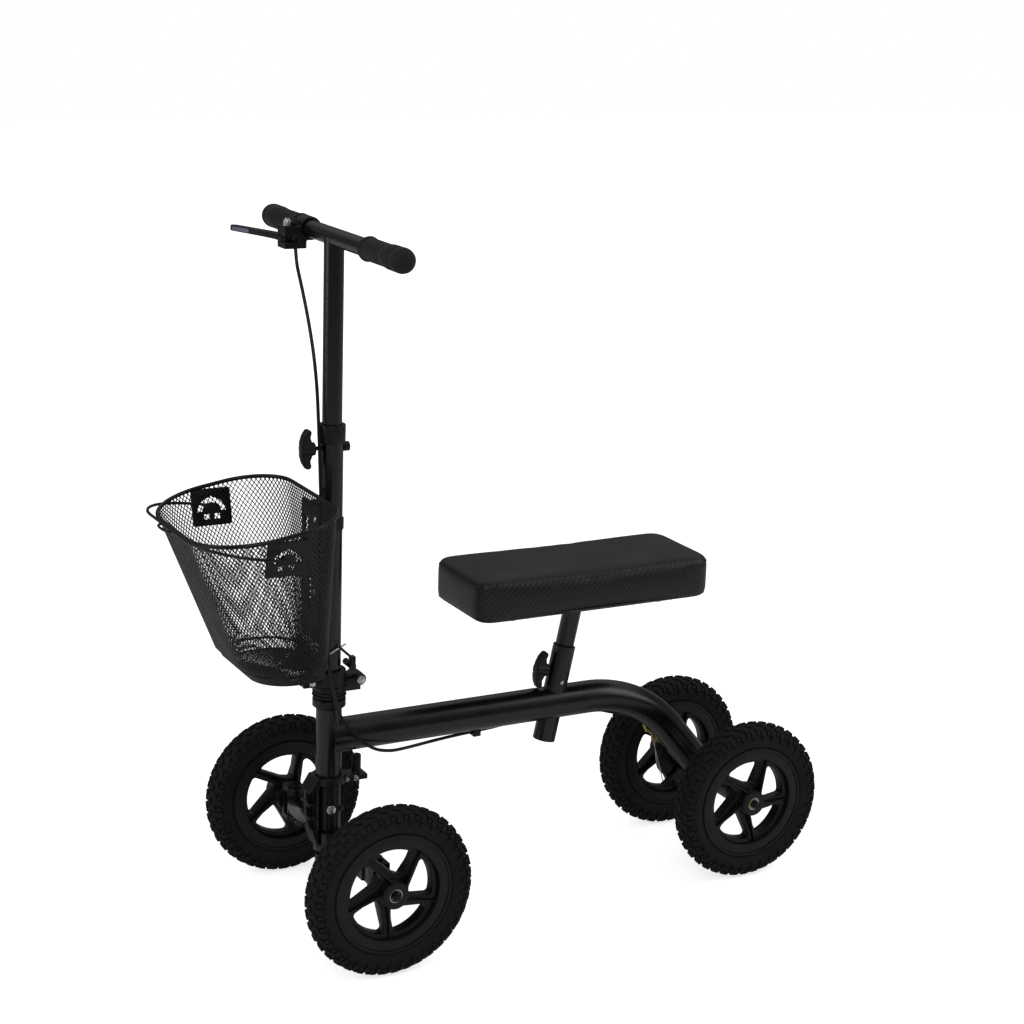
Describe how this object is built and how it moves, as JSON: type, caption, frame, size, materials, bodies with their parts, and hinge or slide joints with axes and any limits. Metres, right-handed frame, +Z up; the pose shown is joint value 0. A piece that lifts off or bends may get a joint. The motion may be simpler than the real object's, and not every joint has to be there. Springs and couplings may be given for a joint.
{
  "type": "knee scooter",
  "caption": "Steerable knee scooter with a padded knee rest, folding height-adjustable column, hand brake, wire basket and air-style treaded wheels.",
  "frame": {"origin": "middle of the footprint on the ground", "axes": "+X forward, +Y to the rider's left, +Z up"},
  "size_m": [1.0398, 0.47, 1.045],
  "materials": {
    "black_paint": "semi-gloss",
    "cast_black": "satin",
    "tyre_rubber": "matte",
    "rim_plastic": "satin",
    "knob_plastic": "matte",
    "grip_rubber": "matte",
    "pad_vinyl": "vinyl-coated weave",
    "zinc_steel": "zinc plated",
    "yellow_zinc": "yellow zinc plated",
    "bearing_steel": "ground",
    "cable_housing": "satin",
    "mesh_black": "dip-coated wire mesh",
    "wire_black": "powder coat"
  },
  "bodies": {
    "frame": {"main_tube": "black_paint", "head_tube": "black_paint", "headset": "cast_black", "axle_bracket": "cast_black", "front_axle_beam": "black_paint", "kingpins": "cast_black", "rear_axle_tube": "black_paint", "rear_axle": "cast_black", "seat_sleeve": "black_paint", "brake_band": "cast_black", "brake_anchor": "yellow_zinc", "cable_frame": "cable_housing", "cable_clip": "knob_plastic"},
    "steering": {"steerer": "black_paint", "steering_post": "cast_black", "steering_arm": "cast_black", "fold_base": "cast_black", "fold_pin": "zinc_steel"},
    "left_track_rod": {"track_rod_left": "cast_black"},
    "right_track_rod": {"track_rod_right": "cast_black"},
    "left_knuckle": {"knuckle_left": "cast_black"},
    "right_knuckle": {"knuckle_right": "cast_black"},
    "front_left_wheel": {"tyre_front_left": "tyre_rubber", "rim_front_left": "rim_plastic", "bearings_front_left": "bearing_steel"},
    "front_right_wheel": {"tyre_front_right": "tyre_rubber", "rim_front_right": "rim_plastic", "bearings_front_right": "bearing_steel"},
    "rear_left_wheel": {"tyre_rear_left": "tyre_rubber", "rim_rear_left": "rim_plastic", "bearings_rear_left": "bearing_steel"},
    "rear_right_wheel": {"tyre_rear_right": "tyre_rubber", "rim_rear_right": "rim_plastic", "bearings_rear_right": "bearing_steel", "brake_drum": "cast_black"},
    "column": {"fold_collar": "cast_black", "lower_column": "black_paint", "column_collar": "cast_black", "column_bolts": "cast_black", "cable_lower": "cable_housing", "basket": "mesh_black", "basket_plates": "wire_black", "basket_bracket": "knob_plastic"},
    "latch": {"fold_latch": "cast_black"},
    "height_knob": {"column_knob": "knob_plastic"},
    "carry_handle": {"basket_handle": "wire_black"},
    "bar": {"upper_column": "black_paint", "handlebar": "black_paint", "grip_left": "grip_rubber", "grip_right": "grip_rubber", "lever_bracket": "knob_plastic", "cable_upper": "cable_housing"},
    "lever": {"brake_lever": "knob_plastic"},
    "park_flap": {"parking_latch": "knob_plastic"},
    "adjuster": {"barrel_adjuster": "zinc_steel"},
    "seat": {"seat_post": "black_paint", "seat_pad": "pad_vinyl", "seat_bolts": "zinc_steel"},
    "saddle_knob": {"seat_knob": "knob_plastic"},
    "drum_arm": {"brake_arm": "cast_black"}
  },
  "joints": [
    {"name": "steering_turn", "type": "hinge", "parent": "frame", "child": "steering", "pos_m": [0.2694, 0, 0.226], "axis": [0, 0, 1], "range_deg": [-30, 30], "deforming": ["cable_frame"]},
    {"name": "left_knuckle_turn", "type": "hinge", "parent": "frame", "child": "left_knuckle", "pos_m": [0.2594, 0.15, 0.127], "axis": [0, 0, 1], "range_deg": [-30, 30]},
    {"name": "right_knuckle_turn", "type": "hinge", "parent": "frame", "child": "right_knuckle", "pos_m": [0.2594, -0.15, 0.127], "axis": [0, 0, 1], "range_deg": [-30, 30]},
    {"name": "left_track_rod_turn", "type": "hinge", "parent": "steering", "child": "left_track_rod", "pos_m": [0.2274, 0, 0.1108], "axis": [0, 0, 1], "range_deg": [-30, 30]},
    {"name": "right_track_rod_turn", "type": "hinge", "parent": "steering", "child": "right_track_rod", "pos_m": [0.2274, 0, 0.0952], "axis": [0, 0, 1], "range_deg": [-30, 30]},
    {"name": "front_left_wheel_spin", "type": "hinge", "parent": "left_knuckle", "child": "front_left_wheel", "pos_m": [0.2594, 0.1965, 0.127], "axis": [0, 1, 0], "continuous": true},
    {"name": "front_right_wheel_spin", "type": "hinge", "parent": "right_knuckle", "child": "front_right_wheel", "pos_m": [0.2594, -0.1965, 0.127], "axis": [0, 1, 0], "continuous": true},
    {"name": "rear_left_wheel_spin", "type": "hinge", "parent": "frame", "child": "rear_left_wheel", "pos_m": [-0.3966, 0.117, 0.127], "axis": [0, 1, 0], "continuous": true},
    {"name": "rear_right_wheel_spin", "type": "hinge", "parent": "frame", "child": "rear_right_wheel", "pos_m": [-0.3966, -0.117, 0.127], "axis": [0, 1, 0], "continuous": true},
    {"name": "column_fold", "type": "hinge", "parent": "steering", "child": "column", "pos_m": [0.2264, 0, 0.378], "axis": [0, -1, 0], "range_deg": [0, 46], "deforming": ["cable_lower"]},
    {"name": "fold_latch_turn", "type": "hinge", "parent": "column", "child": "latch", "pos_m": [0.2414, 0, 0.4015], "axis": [0, -1, 0], "range_deg": [0, 55]},
    {"name": "bar_height", "type": "slide", "parent": "column", "child": "bar", "axis": [0, 0, 1], "range_m": [-0.2, 0.03], "deforming": ["cable_upper"]},
    {"name": "height_knob_turn", "type": "hinge", "parent": "column", "child": "height_knob", "pos_m": [0.284, 0, 0.727], "axis": [1, 0, 0], "continuous": true},
    {"name": "basket_handle_swing", "type": "hinge", "parent": "column", "child": "carry_handle", "pos_m": [0.4024, 0, 0.616], "axis": [0, -1, 0], "range_deg": [0, 95]},
    {"name": "brake_lever_squeeze", "type": "hinge", "parent": "bar", "child": "lever", "pos_m": [0.3014, -0.098, 1.012], "axis": [0, 0, -1], "range_deg": [0, 9], "stiffness_Nm_per_rad": 1.5},
    {"name": "parking_flap_lift", "type": "hinge", "parent": "bar", "child": "park_flap", "pos_m": [0.2939, 0, 1.0334], "axis": [0, 1, 0], "range_deg": [0, 40]},
    {"name": "barrel_adjuster_turn", "type": "hinge", "parent": "bar", "child": "adjuster", "pos_m": [0.3034, -0.088, 1.03], "axis": [0, 0, 1], "continuous": true},
    {"name": "brake_arm_pull", "type": "hinge", "parent": "frame", "child": "drum_arm", "pos_m": [-0.3916, -0.072, 0.107], "axis": [0, -1, 0], "range_deg": [0, 12]},
    {"name": "seat_height", "type": "slide", "parent": "frame", "child": "seat", "axis": [-0.1994, 0, 0.9799], "range_m": [-0.06, 0.04]},
    {"name": "seat_knob_turn", "type": "hinge", "parent": "frame", "child": "saddle_knob", "pos_m": [-0.11489, 0, 0.34058], "axis": [0.9799, 0, 0.1994], "continuous": true}
  ],
  "couplings": [
    {"joint": "left_knuckle_turn", "follows": "steering_turn", "ratio": 1},
    {"joint": "right_knuckle_turn", "follows": "steering_turn", "ratio": 1},
    {"joint": "left_track_rod_turn", "follows": "steering_turn", "ratio": -1},
    {"joint": "right_track_rod_turn", "follows": "steering_turn", "ratio": -1},
    {"joint": "brake_arm_pull", "follows": "brake_lever_squeeze", "ratio": 1.3}
  ]
}
